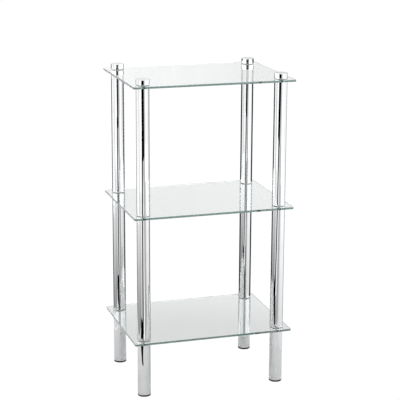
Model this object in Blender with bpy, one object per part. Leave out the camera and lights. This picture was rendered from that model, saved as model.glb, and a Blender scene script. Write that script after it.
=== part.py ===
"""Free-standing bathroom rack: three clear glass shelves on four chrome tube posts.

Each post is a stack: foot glide, leg, lower tube, upper tube and cap. A shelf is clamped between
two of them at each joint by a threaded stud through a drilled hole, with a soft washer on either side.
Metres, +Z up. The origin is on the floor, in the middle of the four feet; the front is towards -Y.
"""

import math

import bmesh
import bpy
from mathutils import Matrix, Vector

# Driving dimensions
SHELF_WIDTH = 0.400
SHELF_DEPTH = 0.300
GLASS_THICKNESS = 0.005
CORNER_RADIUS = 0.003
ARRIS = 0.0004
POST_INSET = 0.029

TUBE_DIAMETER = 0.032
TUBE_WALL = 0.001
TUBE_LENGTH = 0.306
LEG_LENGTH = 0.1325
PLUG_DEPTH = 0.009
EDGE_BREAK = 0.0003

CAP_HEIGHT = 0.013
CAP_WALL = 0.0014
CAP_CROWN = 0.002
CAP_EDGE_RADIUS = 0.0006
CAP_BOSS_WALL = 0.0025

STUD_DIAMETER = 0.008
STUD_REACH = 0.0085

WASHER_FLANGE = 0.0005
WASHER_SETBACK = 0.0005
COLLAR_WALL = 0.0014

GLIDE_FOOT = 0.004
GLIDE_EDGE_RADIUS = 0.0008
GLIDE_SPIGOT = 0.014
GLIDE_WALL = 0.002
GLIDE_RIBS = 2
GLIDE_RIB_HEIGHT = 0.0012

# Clearance kept between neighbouring pieces
FIT = 0.0003

# Facets round the turned pieces, and the angles from which an edge is shaded sharp or ground off
TUBE_FACETS = 24
GLIDE_FACETS = 16
SMALL_FACETS = 12
EDGE_STEPS = 2
CORNER_STEPS = 4
SHARP_ANGLE = math.radians(35)
GROUND_ANGLE = math.radians(60)

# Sizes that follow from the ones above; a set screw's hexagon is half as wide as its thread
TUBE_RADIUS = TUBE_DIAMETER / 2
BORE_RADIUS = TUBE_RADIUS - TUBE_WALL
STUD_RADIUS = STUD_DIAMETER / 2
STUD_CHAMFER = STUD_DIAMETER / 10
SOCKET_SIDES = 6
SOCKET_RADIUS = STUD_DIAMETER / 2 / math.sqrt(3)
SOCKET_DEPTH = STUD_DIAMETER / 2
THREAD_RADIUS = STUD_RADIUS + FIT
COLLAR_RADIUS = THREAD_RADIUS + COLLAR_WALL
DRILL_RADIUS = COLLAR_RADIUS + FIT
WASHER_RADIUS = TUBE_RADIUS - WASHER_SETBACK
SEAT = FIT + WASHER_FLANGE + FIT
LEG_BASE = GLIDE_FOOT + FIT
BOTTOM_SHELF_Z = LEG_BASE + LEG_LENGTH + SEAT
TIER = GLASS_THICKNESS + SEAT + TUBE_LENGTH + SEAT
SHELF_Z = {"bottom": BOTTOM_SHELF_Z, "middle": BOTTOM_SHELF_Z + TIER, "top": BOTTOM_SHELF_Z + 2 * TIER}
ABOVE_SHELF = GLASS_THICKNESS + SEAT
CAP_THREAD = CAP_HEIGHT - CAP_CROWN
CORNERS = {
    "front_left": (-1, -1),
    "front_right": (1, -1),
    "rear_left": (-1, 1),
    "rear_right": (1, 1),
}


def finish(name, colour, roughness, metallic, transmission=0.0):
    """A plain Principled material."""
    made = bpy.data.materials.new(name)
    made.use_nodes = True
    shader = made.node_tree.nodes["Principled BSDF"]
    shader.inputs["Base Color"].default_value = (*colour, 1.0)
    shader.inputs["Roughness"].default_value = roughness
    shader.inputs["Metallic"].default_value = metallic
    shader.inputs["Transmission Weight"].default_value = transmission
    return made


def arc(centre_r, centre_z, radius, start_deg, end_deg, steps):
    """Points on an arc in the half plane of a turned profile, as (radius, height)."""
    points = []
    for i in range(steps + 1):
        angle = math.radians(start_deg + (end_deg - start_deg) * i / steps)
        points.append((centre_r + radius * math.cos(angle), centre_z + radius * math.sin(angle)))
    return points


def mesh_from(name, bm):
    """The bmesh as a mesh with its faces outwards, shaded smooth apart from its sharp edges."""
    bmesh.ops.recalc_face_normals(bm, faces=bm.faces)
    mesh = bpy.data.meshes.new(name)
    bm.to_mesh(mesh)
    bm.free()
    mesh.shade_smooth()
    mesh.set_sharp_from_angle(angle=SHARP_ANGLE)
    return mesh


def turned(name, profile, facets):
    """A closed (radius, height) profile spun about Z. A profile that meets the axis starts and ends on it."""
    bm = bmesh.new()
    points = [bm.verts.new((r, 0, z)) for r, z in profile]
    edges = [bm.edges.new(pair) for pair in zip(points, points[1:])]
    if profile[0][0] > 0:
        edges.append(bm.edges.new((points[-1], points[0])))
    bmesh.ops.spin(
        bm,
        geom=points + edges,
        cent=(0, 0, 0),
        axis=(0, 0, 1),
        angle=2 * math.pi,
        steps=facets,
        use_merge=True,
    )
    same_point = 1e-6
    bmesh.ops.remove_doubles(bm, verts=bm.verts, dist=same_point)
    return mesh_from(name, bm)


def tube_mesh():
    """Tube with a threaded plug welded into each end, standing on z = 0."""
    top = TUBE_LENGTH
    return turned("tube", [
        (TUBE_RADIUS - EDGE_BREAK, top),
        (TUBE_RADIUS, top - EDGE_BREAK),
        (TUBE_RADIUS, EDGE_BREAK),
        (TUBE_RADIUS - EDGE_BREAK, 0),
        (THREAD_RADIUS, 0),
        (THREAD_RADIUS, PLUG_DEPTH),
        (BORE_RADIUS, PLUG_DEPTH),
        (BORE_RADIUS, top - PLUG_DEPTH),
        (THREAD_RADIUS, top - PLUG_DEPTH),
        (THREAD_RADIUS, top),
    ], TUBE_FACETS)


def leg_mesh():
    """Leg tube with a threaded plug in its top end, open below for the glide."""
    top = LEG_LENGTH
    return turned("leg", [
        (TUBE_RADIUS - EDGE_BREAK, top),
        (TUBE_RADIUS, top - EDGE_BREAK),
        (TUBE_RADIUS, 0),
        (BORE_RADIUS, 0),
        (BORE_RADIUS, top - PLUG_DEPTH),
        (THREAD_RADIUS, top - PLUG_DEPTH),
        (THREAD_RADIUS, top),
    ], TUBE_FACETS)


def cap_mesh():
    """Hollow cap with a threaded boss; its rim and boss both stand on z = 0."""
    roof = CAP_HEIGHT - CAP_CROWN
    edge_centre = (TUBE_RADIUS - CAP_EDGE_RADIUS, CAP_HEIGHT - CAP_EDGE_RADIUS)
    edge = arc(*edge_centre, CAP_EDGE_RADIUS, 90, 0, EDGE_STEPS)
    boss = THREAD_RADIUS + CAP_BOSS_WALL
    return turned("cap", [
        (0, CAP_HEIGHT),
        *edge,
        (TUBE_RADIUS, 0),
        (TUBE_RADIUS - CAP_WALL, 0),
        (TUBE_RADIUS - CAP_WALL, roof),
        (boss, roof),
        (boss, 0),
        (THREAD_RADIUS, 0),
        (THREAD_RADIUS, CAP_THREAD),
        (0, CAP_THREAD),
    ], TUBE_FACETS)


def glide_mesh():
    """Foot with a hollow spigot whose ribs grip the leg's bore, standing on z = 0."""
    rib_radius = BORE_RADIUS - FIT
    core_radius = rib_radius - GLIDE_RIB_HEIGHT
    hollow_radius = core_radius - GLIDE_WALL
    top = GLIDE_FOOT + GLIDE_SPIGOT
    rib_pitch = GLIDE_SPIGOT / (GLIDE_RIBS + 1)
    rib_width = rib_pitch / 2
    edge_radius = min(GLIDE_EDGE_RADIUS, GLIDE_FOOT)
    profile = [(0, GLIDE_FOOT), (hollow_radius, GLIDE_FOOT), (hollow_radius, top), (core_radius, top)]
    for i in range(GLIDE_RIBS):
        rib_top = top - rib_pitch * (i + 1) + rib_width / 2
        profile += [
            (core_radius, rib_top),
            (rib_radius, rib_top - rib_width),
            (core_radius, rib_top - rib_width),
        ]
    profile += [(core_radius, GLIDE_FOOT), (TUBE_RADIUS, GLIDE_FOOT)]
    profile += arc(TUBE_RADIUS - edge_radius, edge_radius, edge_radius, 0, -90, EDGE_STEPS)
    profile += [(0, 0)]
    return turned("glide", profile, GLIDE_FACETS)


def stud_mesh(name, length):
    """Double-ended stud with chamfered ends and a hexagon socket in its lower end, from z = 0 up."""
    core = STUD_RADIUS - STUD_CHAMFER
    bm = bmesh.new()

    def ring(radius, z, facets):
        lift = Matrix.Translation((0, 0, z))
        made = bmesh.ops.create_circle(bm, segments=facets, radius=radius, matrix=lift)
        return list({edge for vert in made["verts"] for edge in vert.link_edges})

    lower = ring(core, 0, SMALL_FACETS)
    wide_lower = ring(STUD_RADIUS, STUD_CHAMFER, SMALL_FACETS)
    wide_upper = ring(STUD_RADIUS, length - STUD_CHAMFER, SMALL_FACETS)
    upper = ring(core, length, SMALL_FACETS)
    mouth = ring(SOCKET_RADIUS, 0, SOCKET_SIDES)
    floor = ring(SOCKET_RADIUS, SOCKET_DEPTH, SOCKET_SIDES)
    loops = [upper, wide_upper, wide_lower, lower, mouth, floor]
    for first, second in zip(loops, loops[1:]):
        bmesh.ops.bridge_loops(bm, edges=first + second)
    for closed in (upper, floor):
        bmesh.ops.contextual_create(bm, geom=closed)
    return mesh_from(name, bm)


def collar_washer_mesh():
    """Washer under the glass, with a collar that stands in the drilled hole and centres the stud."""
    collar_top = WASHER_FLANGE + FIT + GLASS_THICKNESS
    return turned("collar_washer", [
        (COLLAR_RADIUS, collar_top),
        (COLLAR_RADIUS, WASHER_FLANGE),
        (WASHER_RADIUS, WASHER_FLANGE),
        (WASHER_RADIUS, 0),
        (THREAD_RADIUS, 0),
        (THREAD_RADIUS, collar_top),
    ], SMALL_FACETS)


def flat_washer_mesh():
    """Plain washer between the glass and what stands on it."""
    return turned("flat_washer", [
        (WASHER_RADIUS, WASHER_FLANGE),
        (WASHER_RADIUS, 0),
        (THREAD_RADIUS, 0),
        (THREAD_RADIUS, WASHER_FLANGE),
    ], SMALL_FACETS)


def pane_mesh():
    """Glass pane with rounded corners, standing on z = 0, before it is drilled."""
    bm = bmesh.new()
    outline = []
    for start_deg, (sx, sy) in ((0, (1, 1)), (90, (-1, 1)), (180, (-1, -1)), (270, (1, -1))):
        centre_x = sx * (SHELF_WIDTH / 2 - CORNER_RADIUS)
        centre_y = sy * (SHELF_DEPTH / 2 - CORNER_RADIUS)
        corner = arc(centre_x, centre_y, CORNER_RADIUS, start_deg, start_deg + 90, CORNER_STEPS)
        outline += [bm.verts.new((x, y, 0)) for x, y in corner]
    face = bm.faces.new(outline)
    raised = bmesh.ops.extrude_face_region(bm, geom=[face])
    lifted = [item for item in raised["geom"] if isinstance(item, bmesh.types.BMVert)]
    bmesh.ops.translate(bm, verts=lifted, vec=(0, 0, GLASS_THICKNESS))
    return mesh_from("pane", bm)


def place(name, mesh, material, parent, z):
    """A named piece on its post, lifted to z."""
    piece = bpy.data.objects.new(name, mesh)
    bpy.context.collection.objects.link(piece)
    if not mesh.materials:
        mesh.materials.append(material)
    piece.parent = parent
    piece.location = (0, 0, z)
    return piece


def post_position(signs):
    """Where a post stands, from the sides of the rack that it is on."""
    return Vector((
        signs[0] * (SHELF_WIDTH / 2 - POST_INSET),
        signs[1] * (SHELF_DEPTH / 2 - POST_INSET),
        0,
    ))


def drill(corner, signs):
    """Hidden cutter that drills all three shelves where a post's studs pass."""
    height = SHELF_Z["top"] + ABOVE_SHELF
    bm = bmesh.new()
    bmesh.ops.create_cone(
        bm, cap_ends=True, segments=SMALL_FACETS, radius1=DRILL_RADIUS, radius2=DRILL_RADIUS, depth=height
    )
    cutter = bpy.data.objects.new(f"{corner}_drill", mesh_from(f"{corner}_drill", bm))
    bpy.context.collection.objects.link(cutter)
    cutter.location = post_position(signs) + Vector((0, 0, height / 2))
    cutter.hide_render = True
    cutter.display_type = "WIRE"
    return cutter


def build_shelf(level, material, drills):
    """A drilled pane with its arris ground off every edge."""
    shelf = place(f"{level}_shelf", pane_mesh(), material, None, SHELF_Z[level])
    for cutter in drills:
        hole = shelf.modifiers.new(cutter.name, "BOOLEAN")
        hole.operation = "DIFFERENCE"
        hole.object = cutter
    grind = shelf.modifiers.new("arris", "BEVEL")
    grind.width = ARRIS
    grind.segments = 1
    grind.limit_method = "ANGLE"
    grind.angle_limit = GROUND_ANGLE
    return shelf


def build_post(corner, signs, meshes, finishes):
    """One post, from its glide on the floor up to its cap."""
    post = bpy.data.objects.new(f"{corner}_post", None)
    bpy.context.collection.objects.link(post)
    post.location = post_position(signs)
    chrome = finishes["chrome"]
    place(f"{corner}_foot_glide", meshes["glide"], finishes["glide"], post, 0)
    place(f"{corner}_leg", meshes["leg"], chrome, post, LEG_BASE)
    place(f"{corner}_lower_tube", meshes["tube"], chrome, post, SHELF_Z["bottom"] + ABOVE_SHELF)
    place(f"{corner}_upper_tube", meshes["tube"], chrome, post, SHELF_Z["middle"] + ABOVE_SHELF)
    place(f"{corner}_cap", meshes["cap"], chrome, post, SHELF_Z["top"] + ABOVE_SHELF)
    for level, z in SHELF_Z.items():
        stud = meshes["cap_stud"] if level == "top" else meshes["tube_stud"]
        place(f"{corner}_{level}_stud", stud, finishes["stud"], post, z - SEAT - STUD_REACH)
        collar_z = z - FIT - WASHER_FLANGE
        place(f"{corner}_{level}_collar_washer", meshes["collar_washer"], finishes["washer"], post, collar_z)
        flat_z = z + GLASS_THICKNESS + FIT
        place(f"{corner}_{level}_flat_washer", meshes["flat_washer"], finishes["washer"], post, flat_z)


def main():
    for old in list(bpy.data.objects):
        bpy.data.objects.remove(old, do_unlink=True)
    finishes = {
        "glass": finish("clear_glass", (0.93, 0.97, 0.95), 0.02, 0.0, transmission=1.0),
        "chrome": finish("chrome", (0.86, 0.87, 0.88), 0.06, 1.0),
        "stud": finish("zinc_plated_steel", (0.62, 0.62, 0.60), 0.35, 1.0),
        "washer": finish("milky_plastic", (0.78, 0.80, 0.79), 0.4, 0.0),
        "glide": finish("black_plastic", (0.03, 0.03, 0.03), 0.45, 0.0),
    }
    grip = SEAT + GLASS_THICKNESS + SEAT
    meshes = {
        "tube": tube_mesh(),
        "leg": leg_mesh(),
        "cap": cap_mesh(),
        "glide": glide_mesh(),
        "collar_washer": collar_washer_mesh(),
        "flat_washer": flat_washer_mesh(),
        "tube_stud": stud_mesh("tube_stud", STUD_REACH + grip + STUD_REACH),
        "cap_stud": stud_mesh("cap_stud", STUD_REACH + grip + CAP_THREAD - FIT),
    }
    drills = [drill(corner, signs) for corner, signs in CORNERS.items()]
    for level in SHELF_Z:
        build_shelf(level, finishes["glass"], drills)
    for corner, signs in CORNERS.items():
        build_post(corner, signs, meshes, finishes)


main()
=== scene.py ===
# %% [markdown]
# A bathroom shelving unit in chrome and clear glass.
# The real unit stands free on the floor: three glass shelves, held near their corners by four posts of
# chromed tube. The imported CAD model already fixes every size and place. This lesson models a finer
# version of each of its pieces, gives them finishes that behave like the real ones, and builds a small
# photo studio round them. Lengths are metres, Z is up and the front faces -Y.

# %% Load the CAD model as a fixed frame
import math

import bmesh
import bpy
from mathutils import Matrix, Vector


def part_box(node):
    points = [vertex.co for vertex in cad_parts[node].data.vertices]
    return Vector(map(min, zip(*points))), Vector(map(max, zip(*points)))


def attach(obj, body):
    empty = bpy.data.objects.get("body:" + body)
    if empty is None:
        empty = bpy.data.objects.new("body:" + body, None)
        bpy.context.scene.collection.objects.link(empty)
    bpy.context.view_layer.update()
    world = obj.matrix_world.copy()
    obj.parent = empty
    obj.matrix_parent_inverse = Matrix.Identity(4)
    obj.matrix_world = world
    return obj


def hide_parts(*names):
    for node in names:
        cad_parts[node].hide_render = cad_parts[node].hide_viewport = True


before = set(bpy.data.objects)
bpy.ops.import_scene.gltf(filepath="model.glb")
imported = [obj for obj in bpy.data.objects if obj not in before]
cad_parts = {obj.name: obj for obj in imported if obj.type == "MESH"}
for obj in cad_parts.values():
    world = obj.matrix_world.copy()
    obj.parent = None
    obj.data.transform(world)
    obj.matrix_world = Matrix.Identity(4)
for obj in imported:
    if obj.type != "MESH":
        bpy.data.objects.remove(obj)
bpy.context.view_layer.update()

# %% [markdown]
# The camera.
# The picture was taken with a long lens from the front left, above the top shelf and looking down at it.
# A Track To constraint would aim the camera at a point, but it can't hold the slight roll of the real
# one, so the camera is turned by three angles: round the upright, down from the horizon, and round its
# own line of sight.

# %% Place the camera
CAMERA_PLACE = Vector((-0.9923, -3.1990, 1.3120))
CAMERA_TURN = math.radians(17.361)
CAMERA_DIP = math.radians(14.410)
CAMERA_ROLL = math.radians(0.267)
CAMERA_LENS, CAMERA_SENSOR = 124.84, 36.0

bpy.ops.object.select_all(action="DESELECT")
bpy.ops.object.camera_add()
camera = bpy.context.object
camera.name = "camera"
camera.data.sensor_width = CAMERA_SENSOR
camera.data.lens = CAMERA_LENS
camera.matrix_world = (
    Matrix.Translation(CAMERA_PLACE)
    @ Matrix.Rotation(-CAMERA_TURN, 4, "Z")
    @ Matrix.Rotation(math.pi / 2 - CAMERA_DIP, 4, "X")
    @ Matrix.Rotation(CAMERA_ROLL, 4, "Z")
)
bpy.context.scene.camera = camera
bpy.context.scene.view_settings.view_transform = "Standard"
print("camera", round(camera.data.lens, 1), "mm at", [round(v, 3) for v in camera.location])

# %% [markdown]
# Nodes.
# The light, the floor and the finishes are all small networks of nodes. Adding, setting and joining them
# by hand takes four lines a node, so a few helpers do it. Each takes numbers or the outputs of other
# nodes, and gives back the output of the node it made.

# %% Helpers that add and join nodes
def feed(tree, socket, value):
    """Joins an output to a socket, or sets the socket to a plain value."""
    if isinstance(value, bpy.types.NodeSocket):
        tree.links.new(value, socket)
    else:
        socket.default_value = value


def calculate(tree, operation, *values):
    """A Math node."""
    node = tree.nodes.new("ShaderNodeMath")
    node.operation = operation
    for socket, value in zip(node.inputs, values):
        feed(tree, socket, value)
    return node.outputs[0]


def remap(tree, value, old=(0.0, 1.0), new=(0.0, 1.0), smooth=False):
    """A Map Range node that carries a value from one span to another."""
    node = tree.nodes.new("ShaderNodeMapRange")
    node.interpolation_type = "SMOOTHSTEP" if smooth else "LINEAR"
    for label, given in zip(("Value", "From Min", "From Max", "To Min", "To Max"), (value, *old, *new)):
        feed(tree, node.inputs[label], given)
    return node.outputs["Result"]


def measure(tree, operation, vector, other=None):
    """A Vector Math node that turns a vector into a number."""
    node = tree.nodes.new("ShaderNodeVectorMath")
    node.operation = operation
    feed(tree, node.inputs[0], vector)
    if other is not None:
        feed(tree, node.inputs[1], other)
    return node.outputs["Value"]


def upward_part(tree, vector):
    """The Z of a vector."""
    node = tree.nodes.new("ShaderNodeSeparateXYZ")
    feed(tree, node.inputs[0], vector)
    return node.outputs["Z"]


def blend_shaders(tree, factor, first, second):
    """A Mix Shader node."""
    node = tree.nodes.new("ShaderNodeMixShader")
    for socket, value in zip(node.inputs, (factor, first, second)):
        feed(tree, socket, value)
    return node.outputs[0]


# %% [markdown]
# The light.
# Chrome and glass have hardly any colour of their own: what they show is the room. So the room comes
# before the finishes. A lamp would give hard highlights. A sky that is bright overhead and greyer below
# lights everything softly from all sides. Its low part is what the flat tops of the shelves and caps
# mirror, and close to the horizon it is lighter on the left than on the right. A post that is mirrored in
# a shelf, or a shelf in a cap, looks at the low sky too, and this second reflection finds it bright at
# the sides, and dark both round the camera and at the back. Glossy Depth counts the reflections. The
# camera itself meets plain white.

# %% Measures of the sky
SKY_OVERHEAD = 2.0
SKY_LOW, LEFT_HORIZON, RIGHT_HORIZON = 0.95, 1.0, 0.84
LEFT_ENDS, RIGHT_STARTS = -0.02, 0.045
HORIZON_ENDS, LOW_STARTS = 0.18, 0.23
LOW_ENDS, OVERHEAD_STARTS = 0.36, 0.55
SECOND_LOOK = 2.4
GAP_SIDE, GAP_MIDDLE = 0.86, 0.93
BACK_MIDDLE, BACK_SIDE = -0.80, -0.66
TWICE, COUNT_MARGIN = 2.0, 0.5
PLAIN_WHITE = (1.0, 1.0, 1.0, 1.0)
RIGHT = Vector((math.cos(CAMERA_TURN), -math.sin(CAMERA_TURN), 0.0))
TOWARDS = Vector((-math.sin(CAMERA_TURN), -math.cos(CAMERA_TURN), 0.0))
print("seen from the camera, right is", RIGHT[:], "and towards it is", TOWARDS[:])

# %% A soft studio sky
world = bpy.data.worlds.new("studio_sky")
bpy.context.scene.world = world
world.use_nodes = True
sky = world.node_tree
sky.nodes.clear()
path = sky.nodes.new("ShaderNodeLightPath")
direction = sky.nodes.new("ShaderNodeTexCoord").outputs["Generated"]
height = upward_part(sky, direction)
to_camera = measure(sky, "DOT_PRODUCT", direction, TOWARDS)
to_right = measure(sky, "DOT_PRODUCT", direction, RIGHT)

horizon = remap(sky, to_right, (LEFT_ENDS, RIGHT_STARTS), (LEFT_HORIZON, RIGHT_HORIZON))
first_look = remap(sky, height, (HORIZON_ENDS, LOW_STARTS), (horizon, SKY_LOW))
gap = remap(sky, to_camera, (GAP_SIDE, GAP_MIDDLE), (SECOND_LOOK, 0.0), smooth=True)
back = remap(sky, to_camera, (BACK_MIDDLE, BACK_SIDE), smooth=True)
second_look = calculate(sky, "MULTIPLY", gap, back)
second = calculate(sky, "COMPARE", path.outputs["Glossy Depth"], TWICE, COUNT_MARGIN)
low_sky = remap(sky, second, new=(first_look, second_look))
climb = remap(sky, height, (LOW_ENDS, OVERHEAD_STARTS), (low_sky, SKY_OVERHEAD), smooth=True)

seen_sky = sky.nodes.new("ShaderNodeBackground")
plain_sky = sky.nodes.new("ShaderNodeBackground")
for background in (seen_sky, plain_sky):
    background.inputs["Color"].default_value = PLAIN_WHITE
feed(sky, seen_sky.inputs["Strength"], climb)
whole_sky = blend_shaders(sky, path.outputs["Is Camera Ray"], seen_sky.outputs[0], plain_sky.outputs[0])
sky.links.new(whole_sky, sky.nodes.new("ShaderNodeOutputWorld").inputs["Surface"])
print("sky from", LEFT_HORIZON, "and", RIGHT_HORIZON, "at the horizon to", SKY_OVERHEAD, "overhead")

# %% [markdown]
# The floor.
# It is a plain pale sweep, so wide that its far edge never shows, and the camera meets it white. A
# photographer lets a sweep fall off behind clear glass, or the glass would vanish against it. Here what is
# seen through glass glows with painted shade instead: greyer, most of all close to the unit, where it
# stands for the unit's shadow, and less farther off, and it is much darker where chrome mirrors it, a
# painted darker reflection. Chrome that mirrors the bare floor meets a matt one, a good deal darker than
# white. A Light Path node tells these rays apart.

# %% A helper that starts a paint
def new_paint(name):
    """A material with no shader in it yet, and its node tree."""
    made = bpy.data.materials.new(name)
    made.use_nodes = True
    made.node_tree.nodes.clear()
    return made, made.node_tree


# %% Lay the floor
FLOOR_SIZE = 60.0
FLOOR_SEEN = 1.02
FLOOR_MIRRORED = 0.575
UNDER_GLASS, BEHIND_GLASS = 0.640, 0.800
FALL_STARTS, FALL_ENDS = 0.30, 0.65
FAR_STARTS, FAR_ENDS, FAR_SHARE = 0.9, 4.2, 1.25
MIRRORED_SHARE = 0.3
# The counts 1 and 2 both lie within 0.6 of 1.5
ONCE_OR_TWICE = (1.5, 0.6)

floor_paint, tree = new_paint("studio_floor")
path = tree.nodes.new("ShaderNodeLightPath")
through_glass = path.outputs["Is Transmission Ray"]
distance = measure(tree, "LENGTH", tree.nodes.new("ShaderNodeTexCoord").outputs["Object"])
# Painted shade: seen through glass, the floor glows darkest close to the unit, where its shadow falls, and
# brighter farther off.
fall = remap(tree, distance, (FALL_STARTS, FALL_ENDS), (UNDER_GLASS, BEHIND_GLASS), smooth=True)
far = remap(tree, distance, (FAR_STARTS, FAR_ENDS), (1.0, FAR_SHARE))
# Painted darker reflection: once or twice mirrored, the glow seen through glass drops to MIRRORED_SHARE of
# itself.
mirrored = calculate(tree, "COMPARE", path.outputs["Glossy Depth"], *ONCE_OR_TWICE)
share = remap(tree, mirrored, new=(1.0, MIRRORED_SHARE))
grey = calculate(tree, "MULTIPLY", calculate(tree, "MULTIPLY", fall, far), share)
floor_glow = tree.nodes.new("ShaderNodeEmission")
feed(tree, floor_glow.inputs["Strength"], remap(tree, through_glass, new=(FLOOR_SEEN, grey)))
matt = tree.nodes.new("ShaderNodeBsdfDiffuse")
matt.inputs["Color"].default_value = (FLOOR_MIRRORED, FLOOR_MIRRORED, FLOOR_MIRRORED, 1.0)
looked_at = calculate(tree, "MAXIMUM", path.outputs["Is Camera Ray"], through_glass)
surface = blend_shaders(tree, looked_at, matt.outputs[0], floor_glow.outputs[0])
tree.links.new(surface, tree.nodes.new("ShaderNodeOutputMaterial").inputs["Surface"])

bpy.ops.object.select_all(action="DESELECT")
bpy.ops.mesh.primitive_plane_add(size=FLOOR_SIZE)
floor = bpy.context.object
floor.name = "studio_floor"
floor.data.materials.append(floor_paint)
print("floor", FLOOR_SIZE, "m wide")

# %% [markdown]
# The sheets.
# Each post is upright and the camera looks down on it, so a post mirrors the floor, from its own foot out
# to about five metres. A photographer of chrome lays and stands white sheets round it and leaves a dark
# gap at the camera: that gap is the black line down the middle of each post. Most sheets here lie on the
# floor, two are raised and slope up towards the camera, and three bright cards lie beside the left edges
# of the shelves. They light nothing and hide nothing, because a sheet is clear unless a ray has been
# mirrored once or twice and comes from above. The tops of the glass and the caps look up, so no sheet
# shows in them. A corner of a sheet is given as its distance to the right of the camera's line of sight,
# its distance towards the camera, both from the middle of the unit, and its brightness there.

# %% Mix the paint of the sheets
sheet_paint, tree = new_paint("sheet")
path = tree.nodes.new("ShaderNodeLightPath")
brightness = tree.nodes.new("ShaderNodeAttribute")
brightness.attribute_name = "brightness"
glow = tree.nodes.new("ShaderNodeEmission")
feed(tree, glow.inputs["Strength"], brightness.outputs["Fac"])
clear = tree.nodes.new("ShaderNodeBsdfTransparent").outputs[0]
mirrored = calculate(tree, "COMPARE", path.outputs["Glossy Depth"], *ONCE_OR_TWICE)
from_below = tree.nodes.new("ShaderNodeNewGeometry").outputs["Backfacing"]
surface = blend_shaders(tree, from_below, blend_shaders(tree, mirrored, clear, glow.outputs[0]), clear)
tree.links.new(surface, tree.nodes.new("ShaderNodeOutputMaterial").inputs["Surface"])
print("paint", sheet_paint.name)

# %% A helper that lays a sheet
ROUND_A_PLANE = (0, 1, 3, 2)


def lay_sheet(name, corners, heights):
    """Lays a four-cornered sheet whose brightness runs evenly from corner to corner."""
    bpy.ops.object.select_all(action="DESELECT")
    bpy.ops.mesh.primitive_plane_add(size=1.0)
    made = bpy.context.object
    made.name = name
    shown = made.data.attributes.new("brightness", "FLOAT", "POINT")
    for index, (right, towards, bright), height in zip(ROUND_A_PLANE, corners, heights):
        made.data.vertices[index].co = RIGHT * right + TOWARDS * towards + Vector((0, 0, height))
        shown.data[index].value = bright
    made.data.update()
    if made.data.polygons[0].normal.z < 0:
        made.data.flip_normals()
    made.data.materials.append(sheet_paint)
    made.visible_camera = made.visible_diffuse = made.visible_shadow = made.visible_volume_scatter = False
    return made


# %% Lay the sheets on the floor, each a hair above the one before
SHEET_GAP = 0.0003
WHITE = 1.75
SHEETS = {
    "left_near": [(-0.57, -0.60, 0.40), (-0.57, 0.45, 0.40), (-1.90, 1.70, 1.35), (-1.90, -1.90, 1.25)],
    "left_front": [(-0.57, 0.45, 0.40), (-0.20, 0.62, 0.75), (-0.70, 2.30, 1.50), (-1.70, 1.55, 1.35)],
    "left_far": [(-1.45, -2.10, 1.35), (-1.90, 1.70, WHITE), (-9.00, 7.00, WHITE), (-6.50, -9.00, 1.35)],
    "left_far_front": [(-1.70, 1.55, WHITE), (-0.70, 2.30, WHITE), (-2.60, 9.00, WHITE), (-9.0, 7.0, WHITE)],
    "left_seam": [(-1.52, 1.14, 1.05), (-1.77, 0.68, 1.05), (-6.50, 2.50, 1.05), (-5.60, 4.20, 1.05)],
    "right_near": [(0.42, -0.60, 1.05), (0.42, 0.50, 1.05), (1.60, 1.60, 1.60), (1.60, -1.60, 1.35)],
    "right_far": [(1.60, -1.60, 1.35), (1.60, 1.60, WHITE), (9.00, 7.00, WHITE), (9.00, -7.00, 1.35)],
    "right_far_front": [(1.60, 1.60, WHITE), (0.50, 2.60, WHITE), (2.00, 9.00, WHITE), (9.00, 7.00, WHITE)],
    "front_far": [(-0.80, 2.00, 0.75), (1.30, 2.00, 0.80), (1.90, 3.20, 0.80), (-1.15, 3.20, 0.75)],
    "front_grey": [(-0.02, 0.50, 0.58), (0.42, 0.50, 0.58), (1.25, 2.20, 0.68), (0.50, 2.20, 0.68)],
    "front_white": [(-0.11, 0.62, 1.55), (0.00, 0.50, 1.55), (0.36, 2.20, 1.30), (-0.14, 2.60, 1.30)],
    "line_white": [(-0.44, 0.64, 1.20), (-0.33, 0.62, 1.45), (-0.95, 2.70, WHITE), (-1.60, 2.50, 1.60)],
    "front_line": [(-0.33, 0.62, 0.0), (-0.11, 0.62, 0.0), (-0.16, 3.20, 0.0), (-1.15, 3.20, 0.0)],
    "dark_patch": [(-0.15, 0.375, 0.0), (-0.46, 0.385, 0.0), (-0.56, 0.60, 0.0), (-0.38, 0.68, 0.0)],
    "dark_tip": [(-0.21, 0.36, 0.0), (-0.30, 0.37, 0.0), (-0.38, 0.68, 0.0), (-0.16, 0.62, 0.0)],
}

for order, (name, corners) in enumerate(SHEETS.items(), 1):
    lay_sheet(name, corners, [SHEET_GAP * order] * len(corners))
print("on the floor:", ", ".join(SHEETS))

# %% Raise the sloping sheets and the side cards
RAISED_HEIGHTS = (0.446, 0.446, 0.605, 0.605)
RAISED = {
    "dark_gap": [(-0.31, 0.82, 0.0), (0.20, 0.82, 0.0), (0.51, 1.75, 0.0), (-0.70, 1.75, 0.0)],
    "gap_shade": [(0.20, 0.82, 0.78), (0.62, 0.82, 1.20), (1.25, 1.75, 1.20), (0.51, 1.75, 0.78)],
}
# The three side cards are a painted highlight: the left edge of each shelf mirrors the card beside it as a
# bright line.
SIDE_HEIGHTS = {"low_side": 0.069, "middle_side": 0.402, "high_side": 0.734}
SIDE_CARD = [(-0.230, 0.075, 1.3), (-0.266, 0.010, 1.3), (-0.360, -0.300, 1.3), (-0.324, -0.232, 1.3)]

for name, corners in RAISED.items():
    lay_sheet(name, corners, RAISED_HEIGHTS)
for name, height in SIDE_HEIGHTS.items():
    lay_sheet(name, SIDE_CARD, [height] * len(SIDE_CARD))
print("raised:", ", ".join([*RAISED, *SIDE_HEIGHTS]))

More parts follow.
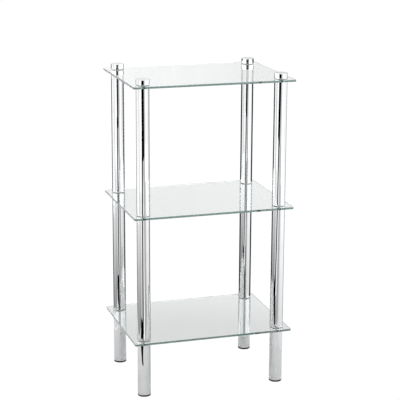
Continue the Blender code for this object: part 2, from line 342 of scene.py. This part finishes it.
# %% [markdown]
# The louvres.
# The dark outline of each post is what lies behind the unit, mirrored at a flat angle. A dark card that
# stands there would also show in the shelves, which mirror whatever rises behind them. A louvre solves
# it: a post looks down on its slats and meets them all, while a shelf looks up from below, and from there
# a sheet is clear. Six narrow louvres are enough, and the bright gaps between them keep the posts looking
# like chrome from behind. A seventh, small one stands before the front right post and gives the dark
# streak low on it. Corners are given as for the sheets, and all slats are equally dark.

# %% Stand the louvres
SLAT_GAP, SLAT_BRIGHT = 0.01, 0.03
TALL_FOOT, TALL_COUNT = 0.01, 76
TALL_LOUVRES = {
    "far_left_louvre": [(-0.65, -0.28), (-0.60, -0.28), (-0.60, -0.42), (-0.65, -0.42)],
    "left_louvre": [(-0.48, -0.25), (-0.42, -0.25), (-0.42, -0.52), (-0.48, -0.52)],
    "inner_louvre": [(-0.16, -0.22), (-0.06, -0.235), (-0.07, -0.29), (-0.17, -0.275)],
    "middle_louvre": [(-0.055, -0.215), (-0.005, -0.215), (-0.005, -0.41), (-0.055, -0.41)],
    "right_louvre": [(0.265, -0.19), (0.32, -0.19), (0.32, -0.43), (0.265, -0.43)],
    "far_right_louvre": [(0.43, -0.19), (0.485, -0.19), (0.485, -0.37), (0.43, -0.37)],
}
SMALL_FOOT, SMALL_COUNT = 0.114, 9
SMALL_LOUVRE = [(0.174, 0.141), (0.144, 0.123), (0.113, 0.152), (0.160, 0.180)]


def stand_louvre(name, corners, foot, count):
    """Lays one slat and stacks the others on it with an Array modifier."""
    slat = [(right, towards, SLAT_BRIGHT) for right, towards in corners]
    louvre = lay_sheet(name, slat, [foot] * len(slat))
    stack = louvre.modifiers.new("stack", "ARRAY")
    stack.count = count
    stack.use_relative_offset = False
    stack.use_constant_offset = True
    stack.constant_offset_displace = (0.0, 0.0, SLAT_GAP)
    bpy.ops.object.modifier_apply(modifier=stack.name)
    print(name, "of", len(louvre.data.polygons), "slats")


for name, corners in TALL_LOUVRES.items():
    stand_louvre(name, corners, TALL_FOOT, TALL_COUNT)
stand_louvre("streak_louvre", SMALL_LOUVRE, SMALL_FOOT, SMALL_COUNT)

# %% [markdown]
# Shared effects.
# Handling leaves faint marks on chrome and on glass, and a mould leaves a fine grain on plastic and on
# soft washers. Each effect is built once as a node group and placed in every finish that needs it, with
# its own values, so a change in one place reaches them all. Object coordinates keep the patterns fixed to
# the piece.

# %% A helper that starts a node group
FLOAT, VECTOR = "NodeSocketFloat", "NodeSocketVector"


def new_group(name, inputs, outputs):
    """A group with its named sockets, what it is given and what it gives."""
    group = bpy.data.node_groups.new(name, "ShaderNodeTree")
    for label, kind in inputs:
        group.interface.new_socket(label, in_out="INPUT", socket_type=kind)
    for label, kind in outputs:
        group.interface.new_socket(label, in_out="OUTPUT", socket_type=kind)
    given = group.nodes.new("NodeGroupInput").outputs
    gives = group.nodes.new("NodeGroupOutput").inputs
    return group, given, gives


# %% Handling marks: a roughness that drifts between clean and touched
MARK_DETAIL, MARK_TWIST = 5.0, 0.6
MARK_STARTS, MARK_FULL = 0.45, 0.75

marks, given, gives = new_group(
    "handling_marks",
    [("Vector", VECTOR), ("Scale", FLOAT), ("Clean", FLOAT), ("Touched", FLOAT)],
    [("Roughness", FLOAT), ("Mask", FLOAT)],
)
cloud = marks.nodes.new("ShaderNodeTexNoise")
cloud.inputs["Detail"].default_value = MARK_DETAIL
cloud.inputs["Distortion"].default_value = MARK_TWIST
feed(marks, cloud.inputs["Vector"], given["Vector"])
feed(marks, cloud.inputs["Scale"], given["Scale"])
patch = remap(marks, cloud.outputs["Fac"], (MARK_STARTS, MARK_FULL), smooth=True)
feed(marks, gives["Roughness"], remap(marks, patch, new=(given["Clean"], given["Touched"])))
feed(marks, gives["Mask"], patch)
print("group", marks.name)

# %% Moulded grain: small pits with a faint change of tone
TONE_DETAIL, TONE_SHARE = 4.0, 0.15

grain, given, gives = new_group(
    "moulded_grain",
    [("Vector", VECTOR), ("Scale", FLOAT)],
    [("Height", FLOAT), ("Tone", FLOAT)],
)
pits = grain.nodes.new("ShaderNodeTexVoronoi")
feed(grain, pits.inputs["Vector"], given["Vector"])
feed(grain, pits.inputs["Scale"], given["Scale"])
drift = grain.nodes.new("ShaderNodeTexNoise")
drift.inputs["Detail"].default_value = TONE_DETAIL
feed(grain, drift.inputs["Vector"], given["Vector"])
feed(grain, drift.inputs["Scale"], calculate(grain, "MULTIPLY", given["Scale"], TONE_SHARE))
feed(grain, gives["Height"], pits.outputs["Distance"])
feed(grain, gives["Tone"], drift.outputs["Fac"])
print("group", grain.name)

# %% [markdown]
# The finishes.
# Every finish is one Principled shader. What is the same all over is set on the shader's own sockets, and
# only what changes over the surface comes from nodes.

# %% Helpers for the finishes
FIRST_COLOUR, SECOND_COLOUR, MIXED_COLOUR = 6, 7, 2


def new_finish(name):
    """A material with a Principled shader, and the Object coordinates that feed it."""
    made = bpy.data.materials.new(name)
    made.use_nodes = True
    tree = made.node_tree
    sockets = tree.nodes["Principled BSDF"].inputs
    place = tree.nodes.new("ShaderNodeTexCoord").outputs["Object"]
    return made, tree, sockets, place


def add_group(tree, group, place, **values):
    """A node group, placed with its own values."""
    node = tree.nodes.new("ShaderNodeGroup")
    node.node_tree = group
    feed(tree, node.inputs["Vector"], place)
    for label, value in values.items():
        node.inputs[label].default_value = value
    return node.outputs


def blend_colours(tree, factor, first, second):
    """A Mix node between two colours, whose colour sockets come after those for numbers and vectors."""
    node = tree.nodes.new("ShaderNodeMix")
    node.data_type = "RGBA"
    node.inputs[FIRST_COLOUR].default_value = (*first, 1.0)
    node.inputs[SECOND_COLOUR].default_value = (*second, 1.0)
    feed(tree, node.inputs[0], factor)
    return node.outputs[MIXED_COLOUR]


def bump(tree, height, strength, depth):
    """A Bump node."""
    node = tree.nodes.new("ShaderNodeBump")
    node.inputs["Strength"].default_value = strength
    node.inputs["Distance"].default_value = depth
    feed(tree, node.inputs["Height"], height)
    return node.outputs["Normal"]


# %% [markdown]
# Chrome.
# Bright chromium over nickel is a mirror that keeps about two thirds of the light. A brighter metal would
# look like silver. Buffing leaves lines round the tube that are far finer than a pixel, so they come as a
# faint bump from a wave along the axis, and handling marks make the mirror a touch softer in places.

# %% Mix the chrome
CHROME_CLEAN, CHROME_HAZY = (0.650, 0.656, 0.664), (0.620, 0.626, 0.632)
BUFFING = {"Scale": 700.0, "Distortion": 3.0, "Detail": 2.0}
BUFFING_STRENGTH, BUFFING_DEPTH = 0.002, 0.00005

chrome, tree, sockets, place = new_finish("bright_chrome")
sockets["Metallic"].default_value = 1.0
touched = add_group(tree, marks, place, Scale=26.0, Clean=0.020, Touched=0.050)
feed(tree, sockets["Roughness"], touched["Roughness"])
feed(tree, sockets["Base Color"], blend_colours(tree, touched["Mask"], CHROME_CLEAN, CHROME_HAZY))
lines = tree.nodes.new("ShaderNodeTexWave")
lines.bands_direction = "Z"
for label, value in BUFFING.items():
    lines.inputs[label].default_value = value
feed(tree, lines.inputs["Vector"], place)
feed(tree, sockets["Normal"], bump(tree, lines.outputs["Fac"], BUFFING_STRENGTH, BUFFING_DEPTH))
print("finish", chrome.name)

# %% [markdown]
# Clear glass.
# Float glass looks colourless through its 5 mm and green along its length, because iron in it takes a
# little red from every millimetre. Painting the edges green alone would do for one view, so the inside
# absorbs light as well, and long paths darken by themselves. Where the surface faces sideways, a dark
# grey-green tint is the glass's own green deepened by painted shade for the light an edge loses along the
# pane, and a little roughness there stands for the grinding. The marks of handling stay faint, or the
# shelf would look frosted.

# %% Mix the glass
GLASS_PASSES, GLASS_DENSITY = (0.978, 0.985, 0.984), 100.0
GLASS_BENDS = 1.52
# The edge colour is the glass's own green, darkened by painted shade for the light lost along the pane.
FACE_TINT, EDGE_GREEN_AND_SHADE = (0.97, 1.0, 0.99), (0.35, 0.42, 0.41)
STILL_FACE, FULLY_EDGE = 0.9, 0.5
GROUND_ROUGHNESS = 0.05

glass, tree, sockets, place = new_finish("clear_glass")
sockets["Transmission Weight"].default_value = 1.0
sockets["IOR"].default_value = GLASS_BENDS
touched = add_group(tree, marks, place, Scale=9.0, Clean=0.0, Touched=0.012)
facing = tree.nodes.new("ShaderNodeNewGeometry").outputs["Normal"]
flatness = calculate(tree, "ABSOLUTE", upward_part(tree, facing))
edge = remap(tree, flatness, (STILL_FACE, FULLY_EDGE))
ground = remap(tree, edge, new=(0.0, GROUND_ROUGHNESS))
feed(tree, sockets["Roughness"], calculate(tree, "ADD", ground, touched["Roughness"]))
# Painted shade: the sideways faces take the dark grey-green edge colour.
feed(tree, sockets["Base Color"], blend_colours(tree, edge, FACE_TINT, EDGE_GREEN_AND_SHADE))
inside = tree.nodes.new("ShaderNodeVolumeAbsorption")
inside.inputs["Color"].default_value = (*GLASS_PASSES, 1.0)
inside.inputs["Density"].default_value = GLASS_DENSITY
tree.links.new(inside.outputs[0], tree.nodes["Material Output"].inputs["Volume"])
print("finish", glass.name)

# %% [markdown]
# Light in the glass.
# A ray that enters a thin edge bounces between the two faces many times before it leaves, and one that
# looks down on a louvre through a shelf has to pass all its clear slats. With few bounces allowed it ends
# as black, so the scene allows more.

# %% Let light travel along the glass and through the louvres
ALL_BOUNCES, BOUNCES_OF_A_KIND = 40, 32

light_paths = bpy.context.scene.cycles
light_paths.max_bounces = ALL_BOUNCES
light_paths.glossy_bounces = BOUNCES_OF_A_KIND
light_paths.transmission_bounces = BOUNCES_OF_A_KIND
light_paths.transparent_max_bounces = 2 * TALL_COUNT
print("bounces", light_paths.max_bounces, "and clear surfaces", light_paths.transparent_max_bounces)

# %% [markdown]
# Zinc, soft washers and moulded feet.
# The studs are plain zinc-plated steel and hide inside the posts. The washers are thin milky plastic, of
# which only the rim shows at each joint. The feet are hard charcoal plastic with a fine moulded grain.

# %% Mix the zinc
ZINC_CLEAN, ZINC_DULL = (0.62, 0.63, 0.64), (0.50, 0.50, 0.47)

zinc, tree, sockets, place = new_finish("zinc_steel")
sockets["Metallic"].default_value = 1.0
touched = add_group(tree, marks, place, Scale=400.0, Clean=0.28, Touched=0.45)
feed(tree, sockets["Roughness"], touched["Roughness"])
feed(tree, sockets["Base Color"], blend_colours(tree, touched["Mask"], ZINC_CLEAN, ZINC_DULL))
print("finish", zinc.name)

# %% Mix the two plastics
WASHER_DARK, WASHER_LIGHT = (0.72, 0.74, 0.73), (0.82, 0.84, 0.83)
FOOT_DARK, FOOT_LIGHT = (0.006, 0.006, 0.007), (0.014, 0.014, 0.015)
GRAIN_STRENGTH = 0.35


def moulded(name, dark, light, roughness, scale, depth):
    """A plastic whose grain shows in its tone and as a small bump."""
    made, tree, sockets, place = new_finish(name)
    sockets["Roughness"].default_value = roughness
    skin = add_group(tree, grain, place, Scale=scale)
    feed(tree, sockets["Base Color"], blend_colours(tree, skin["Tone"], dark, light))
    feed(tree, sockets["Normal"], bump(tree, skin["Height"], GRAIN_STRENGTH, depth))
    print("finish", name)
    return made


washer_plastic = moulded(
    "washer_plastic", WASHER_DARK, WASHER_LIGHT, roughness=0.40, scale=2500.0, depth=0.00008
)
foot_plastic = moulded("foot_plastic", FOOT_DARK, FOOT_LIGHT, roughness=0.55, scale=1600.0, depth=0.00015)

# %% [markdown]
# Turned pieces.
# Tubes, caps, glides and washers are all round, so each is drawn as half a section and spun about the
# post's axis, as on a lathe. A cylinder with insets could make the outside of a tube, but not its bore
# and plugs in one closed shape. The section is drawn by extruding one vertex from corner to corner, and
# some corners are rounded with a vertex bevel before the spin.

# %% Helpers for finding places and selecting
def foot_of(node):
    """The point on the node's upright axis at its lower end."""
    low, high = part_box(node)
    return Vector(((low.x + high.x) / 2, (low.y + high.y) / 2, low.z))


def height_of(node):
    """How tall the node is."""
    low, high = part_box(node)
    return high.z - low.z


def select_only(piece):
    """In object mode, selects one piece and makes it the active one."""
    bpy.ops.object.select_all(action="DESELECT")
    piece.select_set(True)
    bpy.context.view_layer.objects.active = piece


def pick(piece, wanted, kind="verts"):
    """In edit mode, selects only the vertices or edges that pass a test, and counts them."""
    bpy.ops.mesh.select_mode(type={"verts": "VERT", "edges": "EDGE"}[kind])
    bpy.ops.mesh.select_all(action="DESELECT")
    mesh = bmesh.from_edit_mesh(piece.data)
    chosen = [part for part in getattr(mesh, kind) if wanted(part)]
    for part in chosen:
        part.select_set(True)
    mesh.select_flush_mode()
    bmesh.update_edit_mesh(piece.data)
    return len(chosen)


# %% Helpers for drawing and spinning a section
START_SIZE = 0.002
SAME_POINT = 1e-6
FILLET_STEPS = 4
SMOOTH_BELOW = 35


def draw_section(name, node, corners):
    """Extrudes a vertex along (radius, height, fillet) corners beside the node's axis, then rounds them."""
    bpy.ops.object.select_all(action="DESELECT")
    bpy.ops.mesh.primitive_plane_add(size=START_SIZE, location=foot_of(node))
    piece = bpy.context.object
    piece.name = piece.data.name = name
    places = [Vector((radius, 0.0, height)) for radius, height, fillet in corners]
    bpy.ops.object.mode_set(mode="EDIT")
    bpy.ops.mesh.select_mode(type="VERT")
    bpy.ops.mesh.select_all(action="SELECT")
    bpy.ops.mesh.merge(type="CENTER")
    bpy.ops.transform.translate(value=places[0])
    for here, there in zip(places, places[1:]):
        bpy.ops.mesh.extrude_region_move(TRANSFORM_OT_translate={"value": there - here})
    bpy.ops.mesh.select_all(action="SELECT")
    bpy.ops.mesh.remove_doubles(threshold=SAME_POINT)
    for (radius, height, fillet), spot in zip(corners, places):
        if fillet and pick(piece, lambda vert: (vert.co - spot).length < SAME_POINT):
            bpy.ops.mesh.bevel(offset=fillet, segments=FILLET_STEPS, affect="VERTICES", clamp_overlap=False)
    return piece


def spin_section(piece, steps):
    """Spins the section full circle about the object's own axis and closes the seam."""
    bpy.ops.mesh.select_all(action="SELECT")
    bpy.ops.mesh.spin(steps=steps, angle=2 * math.pi, center=piece.location, axis=(0, 0, 1))
    bpy.ops.mesh.select_all(action="SELECT")
    bpy.ops.mesh.remove_doubles(threshold=SAME_POINT)
    bpy.ops.mesh.normals_make_consistent(inside=False)
    bpy.ops.object.mode_set(mode="OBJECT")


def settle(piece, angle=SMOOTH_BELOW):
    """Moves the piece's place into its mesh and smooths all but its sharp edges."""
    select_only(piece)
    bpy.ops.object.transform_apply(location=True, rotation=True, scale=True)
    bpy.ops.object.shade_smooth_by_angle(angle=math.radians(angle))
    return piece


def turn(name, node, corners, steps):
    """A round piece, from its section to its finished mesh."""
    piece = draw_section(name, node, corners)
    spin_section(piece, steps)
    return settle(piece)


# %% [markdown]
# Dressing.
# A finished piece rides on the body of the CAD model, stands for its node and takes its finish. What
# repeats is modelled once, at the front left post, and copied to the other nodes, each copy with a mesh of
# its own.


def dress(piece, node, finish):
    """Names the piece after its node, gives it its finish and ties it to the frame."""
    piece.name = piece.data.name = node + "_finished"
    piece.data.materials.clear()
    piece.data.materials.append(finish)
    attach(piece, "root")
    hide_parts(node)


def copy_to(model, model_node, node):
    """A copy with its own mesh, moved from one node's place to another's."""
    select_only(model)
    bpy.ops.object.duplicate(linked=False)
    bpy.ops.transform.translate(value=foot_of(node) - foot_of(model_node))
    bpy.ops.object.transform_apply(location=True, rotation=False, scale=False)
    return bpy.context.object


def dress_all(model, nodes, finish):
    """Copies the model to every node but the first, then dresses them all."""
    copies = [copy_to(model, nodes[0], node) for node in nodes[1:]]
    for piece, node in zip([model, *copies], nodes):
        dress(piece, node, finish)
    print(len(nodes), "x", nodes[0], "with", len(model.data.polygons), "faces each")


# %% [markdown]
# The tubes.
# A thin-walled steel tube has a threaded plug pressed and welded into each end. Outside it shows a plain
# wall with a slightly rounded lip and, at the ends, a hairline where the plug meets the wall. An extra
# ring near each lip keeps the smooth shading of the lip from creeping along the wall.

# %% Turn the eight tubes
CORNERS = ("front_left", "front_right", "rear_left", "rear_right")
TUBE_STEPS = 96
TUBE_RADIUS, TUBE_WALL = 0.016, 0.001
BORE_RADIUS = TUBE_RADIUS - TUBE_WALL
THREAD_RADIUS = 0.0043
PLUG_DEPTH = 0.009
LIP = 0.0003
HAIRLINE = 0.0002
COUNTERSINK = 0.0006
RING = 0.0015


def plug_end(height, into):
    """Section of a plugged end, from bore to lip. Into is 1 where the tube runs upwards, or else -1."""
    return [
        (BORE_RADIUS, height + into * PLUG_DEPTH, 0),
        (THREAD_RADIUS, height + into * PLUG_DEPTH, 0),
        (THREAD_RADIUS, height + into * COUNTERSINK, 0),
        (THREAD_RADIUS + COUNTERSINK, height, 0),
        (BORE_RADIUS - HAIRLINE, height, 0),
        (BORE_RADIUS, height + into * HAIRLINE, 0),
        (BORE_RADIUS + HAIRLINE, height, 0),
        (TUBE_RADIUS, height, LIP),
        (TUBE_RADIUS, height + into * RING, 0),
    ]


tubes = [corner + part for part in ("_upper_tube", "_lower_tube") for corner in CORNERS]
outline = plug_end(0.0, 1) + plug_end(height_of(tubes[0]), -1)[::-1]
tube = turn("tube", tubes[0], outline + outline[:1], TUBE_STEPS)
dress_all(tube, tubes, chrome)

# %% [markdown]
# The legs.
# A leg is the same tube cut short. Its top has a plug like the others, and its lower end is left open for
# the foot, so the section there is only the cut wall with both rims broken.

# %% Turn the four legs
legs = [corner + "_leg" for corner in CORNERS]
outline = [
    (TUBE_RADIUS, RING, 0),
    (TUBE_RADIUS, 0.0, LIP),
    (BORE_RADIUS, 0.0, LIP),
    *plug_end(height_of(legs[0]), -1),
]
leg = turn("leg", legs[0], outline + outline[:1], TUBE_STEPS)
dress_all(leg, legs, chrome)

# %% [markdown]
# The caps.
# Each post ends in a low chromed cap, die-cast with a threaded boss under its roof. Its top is crowned by
# a fraction of a millimetre, because a dead flat mirror would flash all at once, and the edge is just
# broken. The crown is a shallow arc, so its points come from a circle.

# %% Turn the four caps
CAP_WALL, CAP_ROOF, CAP_EDGE = 0.0014, 0.002, 0.0006
CAP_CROWN, CROWN_STEPS = 0.0002, 8
EDGE_RING, EDGE_RING_RISE = 0.0004, 0.00005
CAST_FILLET = 0.0005
BOSS_WALL = 0.0025
BOSS_RADIUS = THREAD_RADIUS + BOSS_WALL

caps = [corner + "_cap" for corner in CORNERS]
cap_height = height_of(caps[0])
roof = cap_height - CAP_ROOF
crown_radius = (TUBE_RADIUS**2 + CAP_CROWN**2) / (2 * CAP_CROWN)


def on_crown(radius, fillet=0):
    """A corner of the section on the crowned top."""
    drop = crown_radius - math.sqrt(crown_radius**2 - radius**2)
    return (radius, cap_height - drop, fillet)


rim = on_crown(TUBE_RADIUS, CAP_EDGE)
outline = [on_crown(TUBE_RADIUS * step / CROWN_STEPS) for step in range(CROWN_STEPS)] + [
    (TUBE_RADIUS - CAP_EDGE - EDGE_RING, rim[1] + EDGE_RING_RISE, 0),
    rim,
    (TUBE_RADIUS, cap_height - CAP_EDGE - RING, 0),
    (TUBE_RADIUS, RING, 0),
    (TUBE_RADIUS, 0.0, LIP),
    (TUBE_RADIUS - CAP_WALL, 0.0, LIP),
    (TUBE_RADIUS - CAP_WALL, roof, CAST_FILLET),
    (BOSS_RADIUS, roof, CAST_FILLET),
    (BOSS_RADIUS, 0.0, LIP),
    (THREAD_RADIUS + COUNTERSINK, 0.0, 0),
    (THREAD_RADIUS, COUNTERSINK, 0),
    (THREAD_RADIUS, roof, 0),
    (0.0, roof, 0),
]
cap = turn("cap", caps[0], outline, TUBE_STEPS)
dress_all(cap, caps, chrome)

# %% [markdown]
# The foot glides.
# A hard plastic foot is pushed up into each leg. Only its rounded sole shows, as a dark line on the
# floor. Above it a hollow spigot grips the bore with two saw-tooth ribs, which go in easily and come out
# with effort.

# %% Turn the four foot glides
SMALL_STEPS = 64
FOOT_HEIGHT, FOOT_EDGE, FOOT_FILLET = 0.004, 0.0008, 0.0003
RIB_RADIUS, CORE_RADIUS, HOLLOW_RADIUS = 0.0147, 0.0135, 0.0115
HOLLOW_FILLET, MOUTH_FILLET, LEAD_IN = 0.0008, 0.0004, 0.0008
SPIGOT_LENGTH, RIB_EDGE = 0.014, 0.0002
RIB_PITCH = SPIGOT_LENGTH / 3

glides = [corner + "_foot_glide" for corner in CORNERS]
glide_height = height_of(glides[0])
outline = [
    (0.0, FOOT_HEIGHT, 0),
    (HOLLOW_RADIUS, FOOT_HEIGHT, HOLLOW_FILLET),
    (HOLLOW_RADIUS, glide_height, MOUTH_FILLET),
    (CORE_RADIUS, glide_height, LEAD_IN),
]
for rib in (1, 2):
    rib_top = glide_height - RIB_PITCH * rib + RIB_PITCH / 4
    rib_foot = rib_top - RIB_PITCH / 2
    outline += [(CORE_RADIUS, rib_top, 0), (RIB_RADIUS, rib_foot, RIB_EDGE), (CORE_RADIUS, rib_foot, 0)]
outline += [
    (CORE_RADIUS, FOOT_HEIGHT, FOOT_FILLET),
    (TUBE_RADIUS, FOOT_HEIGHT, FOOT_FILLET),
    (TUBE_RADIUS, 0.0, FOOT_EDGE),
    (0.0, 0.0, 0),
]
glide = turn("glide", glides[0], outline, SMALL_STEPS)
dress_all(glide, glides, foot_plastic)

# %% [markdown]
# The washers.
# Glass never touches metal here. A washer with a collar sits under each hole, its collar lining the hole
# so that the stud can't bear on the glass, and a flat washer lies on top. Both are set back a little from
# the tube, which is why each joint shows as a thin line.

# %% Turn the twelve collar washers
LEVELS = ("bottom", "middle", "top")
WASHER_RADIUS, COLLAR_RADIUS = 0.0155, 0.0057
WASHER_THICK, WASHER_EDGE, COLLAR_EDGE = 0.0005, 0.0001, 0.0003

collars = [corner + "_" + level + "_collar_washer" for level in LEVELS for corner in CORNERS]
collar_top = height_of(collars[0])
outline = [
    (COLLAR_RADIUS, WASHER_THICK, 0),
    (WASHER_RADIUS, WASHER_THICK, WASHER_EDGE),
    (WASHER_RADIUS, 0.0, WASHER_EDGE),
    (THREAD_RADIUS, 0.0, WASHER_EDGE),
    (THREAD_RADIUS, collar_top, COLLAR_EDGE),
    (COLLAR_RADIUS, collar_top, COLLAR_EDGE),
]
collar = turn("collar_washer", collars[0], outline + outline[:1], SMALL_STEPS)
dress_all(collar, collars, washer_plastic)

# %% Turn the twelve flat washers
flats = [corner + "_" + level + "_flat_washer" for level in LEVELS for corner in CORNERS]
outline = [
    (THREAD_RADIUS, WASHER_THICK, WASHER_EDGE),
    (WASHER_RADIUS, WASHER_THICK, WASHER_EDGE),
    (WASHER_RADIUS, 0.0, WASHER_EDGE),
    (THREAD_RADIUS, 0.0, WASHER_EDGE),
]
flat = turn("flat_washer", flats[0], outline + outline[:1], SMALL_STEPS)
dress_all(flat, flats, washer_plastic)

# %% [markdown]
# The studs.
# A headless screw runs through each hole and pulls the two halves of a joint together. Rings stacked on a
# rod would look like a thread from afar, but a real one is a helix: one tooth is drawn and the Screw
# modifier winds it up the axis. The ragged ends are cut square with bisect, which also fills them, and a
# six-sided socket for a key is cut into the foot.

# %% Helpers for cutting
def cut_ends(piece, heights):
    """Cuts the piece square at its lower and upper height and fills both ends."""
    select_only(piece)
    bpy.ops.object.mode_set(mode="EDIT")
    for height, outward in zip(heights, (-1, 1)):
        bpy.ops.mesh.select_all(action="SELECT")
        bpy.ops.mesh.bisect(
            plane_co=(0, 0, height), plane_no=(0, 0, outward), use_fill=True, clear_outer=True
        )
    bpy.ops.mesh.select_all(action="SELECT")
    bpy.ops.mesh.normals_make_consistent(inside=False)
    bpy.ops.object.mode_set(mode="OBJECT")


def drill(piece, sides, radius, depth, middle):
    """Cuts an upright hole with a Boolean modifier and removes the cutter."""
    bpy.ops.object.select_all(action="DESELECT")
    bpy.ops.mesh.primitive_cylinder_add(vertices=sides, radius=radius, depth=depth, location=middle)
    cutter = bpy.context.object
    select_only(piece)
    cut = piece.modifiers.new("cut", "BOOLEAN")
    cut.operation = "DIFFERENCE"
    cut.solver = "EXACT"
    cut.object = cutter
    bpy.ops.object.modifier_apply(modifier=cut.name)
    bpy.data.objects.remove(cutter)


# %% Wind the twelve studs
STUD_RADIUS, PITCH = 0.004, 0.00125
ROOT_RADIUS = STUD_RADIUS - 0.61 * PITCH
ROOT_ENDS, CREST_STARTS, CREST_ENDS = 0.20 * PITCH, 0.54 * PITCH, 0.66 * PITCH
TURN_STEPS, OVERRUN = 24, 2
KEY_SIDES, KEY_RADIUS, KEY_DEPTH = 6, 0.0023, 0.004
THREAD_SMOOTH_BELOW = 30


def wind_stud(node):
    """Winds a thread as long as the node, cuts it square and sinks the socket into its foot."""
    low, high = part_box(node)
    start = -OVERRUN * PITCH
    tooth = [
        (ROOT_RADIUS, start, 0),
        (ROOT_RADIUS, start + ROOT_ENDS, 0),
        (STUD_RADIUS, start + CREST_STARTS, 0),
        (STUD_RADIUS, start + CREST_ENDS, 0),
        (ROOT_RADIUS, start + PITCH, 0),
    ]
    stud = draw_section("stud", node, tooth)
    bpy.ops.object.mode_set(mode="OBJECT")
    winding = stud.modifiers.new("winding", "SCREW")
    winding.angle = 2 * math.pi
    winding.screw_offset = PITCH
    winding.iterations = math.ceil((high.z - low.z) / PITCH) + 2 * OVERRUN
    winding.steps = winding.render_steps = TURN_STEPS
    bpy.ops.object.modifier_apply(modifier=winding.name)
    bpy.ops.object.mode_set(mode="EDIT")
    bpy.ops.mesh.select_all(action="SELECT")
    bpy.ops.mesh.remove_doubles(threshold=SAME_POINT)
    bpy.ops.object.mode_set(mode="OBJECT")
    cut_ends(stud, (low.z, high.z))
    drill(stud, KEY_SIDES, KEY_RADIUS, 2 * KEY_DEPTH, foot_of(node))
    return settle(stud, THREAD_SMOOTH_BELOW)


tube_studs = [corner + "_" + level + "_stud" for level in LEVELS[:2] for corner in CORNERS]
cap_studs = [corner + "_top_stud" for corner in CORNERS]
for studs in (tube_studs, cap_studs):
    dress_all(wind_stud(studs[0]), studs, zinc)

# %% [markdown]
# The glass shelves.
# Each shelf is one pane of 5 mm float glass with small corner radii, four drilled holes and ground edges.
# A slab gets its corners with an edge bevel, its holes with Boolean cutters, and last a Bevel modifier
# takes the sharp arris off every rim at 45 degrees. The chamfer stays a single flat facet: a rounded one
# would bend the smooth shading across the faces, and a pane must mirror dead flat. Beside the round
# corners, a Weighted Normal modifier keeps the long sides flat too.

# %% Cut and drill one pane
CORNER_RADIUS, CORNER_STEPS = 0.003, 8
DRILL_RADIUS, DRILL_STEPS, DRILL_REACH = 0.006, 48, 0.02
ARRIS = 0.0003

shelves = [level + "_shelf" for level in LEVELS]
low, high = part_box(shelves[0])
bpy.ops.object.select_all(action="DESELECT")
bpy.ops.mesh.primitive_cube_add(size=1.0, location=(low + high) / 2, scale=high - low)
pane = bpy.context.object
bpy.ops.object.transform_apply(location=True, rotation=True, scale=True)
bpy.ops.object.mode_set(mode="EDIT")
pick(pane, lambda rim: abs(rim.verts[0].co.z - rim.verts[1].co.z) > ARRIS, "edges")
bpy.ops.mesh.bevel(offset=CORNER_RADIUS, segments=CORNER_STEPS, affect="EDGES")
bpy.ops.object.mode_set(mode="OBJECT")
for leg_node in legs:
    hole = foot_of(leg_node)
    hole.z = (low.z + high.z) / 2
    drill(pane, DRILL_STEPS, DRILL_RADIUS, DRILL_REACH, hole)
print("pane with", len(pane.data.polygons), "faces before its edges are ground")

# %% Grind its edges and copy it
SHARP_ABOVE, PANE_SMOOTH_BELOW = 60, 20

select_only(pane)
chamfer = pane.modifiers.new("chamfer", "BEVEL")
chamfer.width = ARRIS
chamfer.segments = 1
chamfer.limit_method = "ANGLE"
chamfer.angle_limit = math.radians(SHARP_ABOVE)
bpy.ops.object.modifier_apply(modifier=chamfer.name)
settle(pane, PANE_SMOOTH_BELOW)
level_sides = pane.modifiers.new("level_sides", "WEIGHTED_NORMAL")
level_sides.keep_sharp = True
bpy.ops.object.modifier_apply(modifier=level_sides.name)
dress_all(pane, shelves, glass)
